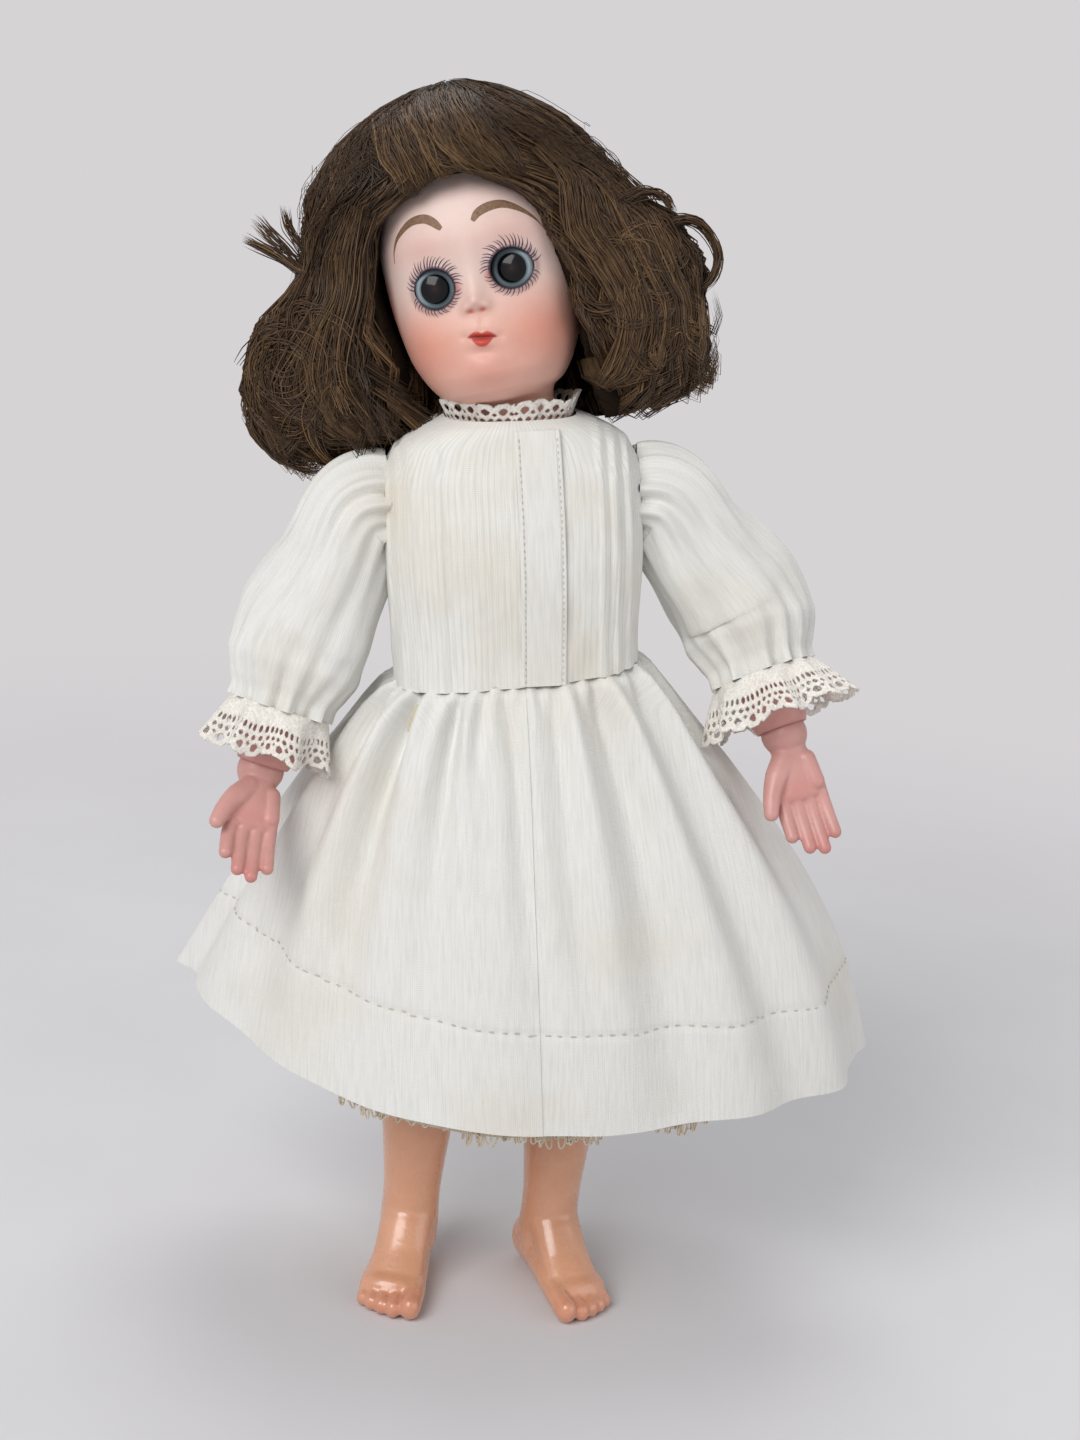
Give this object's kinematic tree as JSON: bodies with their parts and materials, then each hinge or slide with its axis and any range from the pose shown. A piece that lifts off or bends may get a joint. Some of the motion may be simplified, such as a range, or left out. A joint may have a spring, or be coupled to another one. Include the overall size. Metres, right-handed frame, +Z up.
{
  "type": "jointed dressed doll",
  "caption": "Standing jointed doll with a bisque socket head, sleeping glass eyes, curly brown wig, ball-jointed limbs and a white cotton dress with lace at neck and cuffs.",
  "frame": {"origin": "centre of the bounding box at floor level, between and just behind the feet", "axes": "+Z up, -Y the way the doll faces, +X towards the doll's left hand"},
  "size_m": [0.1926, 0.0912, 0.3281],
  "materials": {
    "bisque": "matte",
    "limbs": "satin",
    "hands": "satin",
    "hair": "matte",
    "cotton": "matte",
    "lace": "matte",
    "petticoat": "matte",
    "glass": "gloss",
    "steel": "satin",
    "lead": "matte",
    "elastic": "matte",
    "wood": "matte",
    "card": "matte",
    "button": "gloss"
  },
  "bodies": {
    "torso": {"torso_front": "limbs", "torso_back": "limbs", "arm_elastic": "elastic", "leg_elastic_left": "elastic", "leg_elastic_right": "elastic", "bodice": "cotton", "placket": "cotton", "button_upper": "button", "button_lower": "button", "collar_lace": "lace", "skirt_left": "cotton", "skirt_right": "cotton", "petticoat_left": "petticoat", "petticoat_right": "petticoat"},
    "neck_hook": {"neck_hook": "steel"},
    "neck_plug": {"neck_plug": "wood"},
    "head": {"head_shell": "bisque", "pate": "card", "eye_stop": "wood", "wig_crown": "hair", "wig_curls": "hair"},
    "eyes": {"eyeball_left": "glass", "eyeball_right": "glass", "eye_wire": "steel", "eye_weight": "lead"},
    "shoulder_left": {"shoulder_ball_left": "limbs"},
    "upper_arm_left": {"upper_arm_left": "limbs", "upper_arm_elastic_left": "elastic", "sleeve_left": "cotton"},
    "elbow_left": {"elbow_ball_left": "limbs"},
    "forearm_left": {"forearm_left": "hands", "forearm_elastic_left": "elastic", "cuff_lace_left": "lace"},
    "wrist_left": {"hand_hook_left": "steel"},
    "hand_left": {"hand_left": "hands"},
    "shoulder_right": {"shoulder_ball_right": "limbs"},
    "upper_arm_right": {"upper_arm_right": "limbs", "upper_arm_elastic_right": "elastic", "sleeve_right": "cotton"},
    "elbow_right": {"elbow_ball_right": "limbs"},
    "forearm_right": {"forearm_right": "hands", "forearm_elastic_right": "elastic", "cuff_lace_right": "lace"},
    "wrist_right": {"hand_hook_right": "steel"},
    "hand_right": {"hand_right": "hands"},
    "hip_left": {"hip_ball_left": "limbs"},
    "thigh_left": {"thigh_left": "limbs", "thigh_elastic_left": "elastic"},
    "knee_left": {"knee_ball_left": "limbs"},
    "shin_left": {"lower_leg_left": "limbs", "shin_elastic_left": "elastic", "leg_hook_left": "steel"},
    "hip_right": {"hip_ball_right": "limbs"},
    "thigh_right": {"thigh_right": "limbs", "thigh_elastic_right": "elastic"},
    "knee_right": {"knee_ball_right": "limbs"},
    "shin_right": {"lower_leg_right": "limbs", "shin_elastic_right": "elastic", "leg_hook_right": "steel"}
  },
  "joints": [
    {"name": "head_turn", "type": "hinge", "parent": "torso", "child": "neck_hook", "pos_m": [-0.02031, 0.00197, 0.24362], "axis": [-0.1141, -0.0175, 0.9933], "range_deg": [-50, 60]},
    {"name": "head_nod", "type": "hinge", "parent": "neck_hook", "child": "neck_plug", "pos_m": [-0.02031, 0.00197, 0.24362], "axis": [0.9756, -0.1908, 0.1087], "range_deg": [-7, 10]},
    {"name": "head_tilt", "type": "hinge", "parent": "neck_plug", "child": "head", "pos_m": [-0.02031, 0.00197, 0.24362], "axis": [0.1951, 0.9803, -0.0306], "range_deg": [-6, 18]},
    {"name": "eyes_close", "type": "hinge", "parent": "head", "child": "eyes", "pos_m": [-0.03271, -0.00875, 0.27859], "axis": [0.9193, -0.1719, 0.354], "range_deg": [0, 70], "deforming": ["wig_curls", "collar_lace", "skirt_left", "skirt_right", "petticoat_left", "petticoat_right", "sleeve_left", "sleeve_right", "cuff_lace_left", "cuff_lace_right"]},
    {"name": "shoulder_swing_left", "type": "hinge", "parent": "torso", "child": "shoulder_left", "pos_m": [0.01988, 0.00234, 0.22679], "axis": [-0.9935, 0, -0.1141], "range_deg": [-40, 110]},
    {"name": "shoulder_lift_left", "type": "hinge", "parent": "shoulder_left", "child": "upper_arm_left", "pos_m": [0.01988, 0.00234, 0.22679], "axis": [0.0139, -0.9925, -0.1211], "range_deg": [-19, 54]},
    {"name": "elbow_bend_left", "type": "hinge", "parent": "upper_arm_left", "child": "elbow_left", "pos_m": [0.04607, 0.0062, 0.19816], "axis": [-0.6552, 0.5419, -0.5263], "range_deg": [-31, 50]},
    {"name": "elbow_twist_left", "type": "hinge", "parent": "elbow_left", "child": "forearm_left", "pos_m": [0.04607, 0.0062, 0.19816], "axis": [-0.3646, 0.3833, 0.8486], "range_deg": [-60, 60]},
    {"name": "wrist_twist_left", "type": "hinge", "parent": "forearm_left", "child": "wrist_left", "pos_m": [0.0592, -0.0076, 0.16761], "axis": [-0.3646, 0.3833, 0.8486], "range_deg": [-70, 70]},
    {"name": "wrist_bend_left", "type": "hinge", "parent": "wrist_left", "child": "hand_left", "pos_m": [0.0592, -0.0076, 0.16761], "axis": [-0.4041, 0.7559, -0.5151], "range_deg": [-30, 55]},
    {"name": "hip_swing_left", "type": "hinge", "parent": "torso", "child": "hip_left", "pos_m": [0.01136, 0.00376, 0.142], "axis": [-1, 0, 0], "range_deg": [-15, 82]},
    {"name": "hip_spread_left", "type": "hinge", "parent": "hip_left", "child": "thigh_left", "pos_m": [0.01136, 0.00376, 0.142], "axis": [0, -1, 0], "range_deg": [0, 20]},
    {"name": "knee_bend_left", "type": "hinge", "parent": "thigh_left", "child": "knee_left", "pos_m": [0.01136, 0.00376, 0.082], "axis": [1, 0, 0], "range_deg": [0, 84]},
    {"name": "knee_twist_left", "type": "hinge", "parent": "knee_left", "child": "shin_left", "pos_m": [0.01136, 0.00376, 0.082], "axis": [0, 0, 1], "range_deg": [-25, 25]},
    {"name": "shoulder_swing_right", "type": "hinge", "parent": "torso", "child": "shoulder_right", "pos_m": [-0.05563, 0.00234, 0.21812], "axis": [-0.9935, 0, -0.1141], "range_deg": [-40, 110]},
    {"name": "shoulder_lift_right", "type": "hinge", "parent": "shoulder_right", "child": "upper_arm_right", "pos_m": [-0.05563, 0.00234, 0.21812], "axis": [-0.0105, 0.9957, 0.0918], "range_deg": [-11, 60]},
    {"name": "elbow_bend_right", "type": "hinge", "parent": "upper_arm_right", "child": "elbow_right", "pos_m": [-0.06914, 0.00556, 0.18168], "axis": [-0.9001, -0.3095, 0.3065], "range_deg": [-15, 66]},
    {"name": "elbow_twist_right", "type": "hinge", "parent": "elbow_right", "child": "forearm_right", "pos_m": [-0.06914, 0.00556, 0.18168], "axis": [0.248, 0.2143, 0.9447], "range_deg": [-60, 60]},
    {"name": "wrist_twist_right", "type": "hinge", "parent": "forearm_right", "child": "wrist_right", "pos_m": [-0.07807, -0.00215, 0.14767], "axis": [0.248, 0.2143, 0.9447], "range_deg": [-70, 70]},
    {"name": "wrist_bend_right", "type": "hinge", "parent": "wrist_right", "child": "hand_right", "pos_m": [-0.07807, -0.00215, 0.14767], "axis": [-0.95, -0.1372, 0.2805], "range_deg": [-56, 24]},
    {"name": "hip_swing_right", "type": "hinge", "parent": "torso", "child": "hip_right", "pos_m": [-0.02864, 0.00376, 0.142], "axis": [-1, 0, 0], "range_deg": [-15, 82]},
    {"name": "hip_spread_right", "type": "hinge", "parent": "hip_right", "child": "thigh_right", "pos_m": [-0.02864, 0.00376, 0.142], "axis": [0, 1, 0], "range_deg": [0, 20]},
    {"name": "knee_bend_right", "type": "hinge", "parent": "thigh_right", "child": "knee_right", "pos_m": [-0.02864, 0.00376, 0.082], "axis": [1, 0, 0], "range_deg": [0, 84]},
    {"name": "knee_twist_right", "type": "hinge", "parent": "knee_right", "child": "shin_right", "pos_m": [-0.02864, 0.00376, 0.082], "axis": [0, 0, 1], "range_deg": [-25, 25]}
  ]
}
